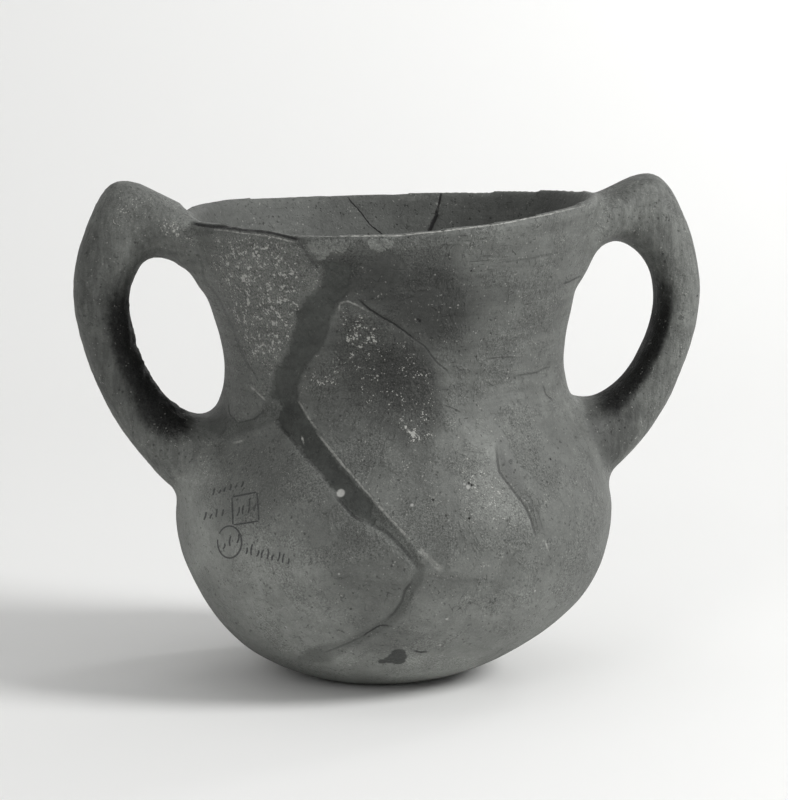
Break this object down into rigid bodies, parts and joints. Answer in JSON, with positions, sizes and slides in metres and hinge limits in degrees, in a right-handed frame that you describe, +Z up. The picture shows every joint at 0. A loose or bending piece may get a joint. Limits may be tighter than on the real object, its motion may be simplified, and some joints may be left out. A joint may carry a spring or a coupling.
{
  "type": "two-handled jar",
  "caption": "Grey fired-clay jar with a round body, a wide flaring mouth and a high loop handle on each side, mended from sherds; it stands on a small flat underside.",
  "frame": {"origin": "centre of the flat underside, on the surface that the jar stands on", "axes": "+Z up, the handles along X, the lower handle at -X, the side with the long mended joint facing -Y"},
  "size_m": [0.2158, 0.1498, 0.1709],
  "materials": {
    "fired_clay": "unglazed grey fired clay, hand-smoothed, matt with a faint burnish, mended with darker filler"
  },
  "bodies": {
    "root": {"jar": "fired_clay"}
  },
  "joints": []
}
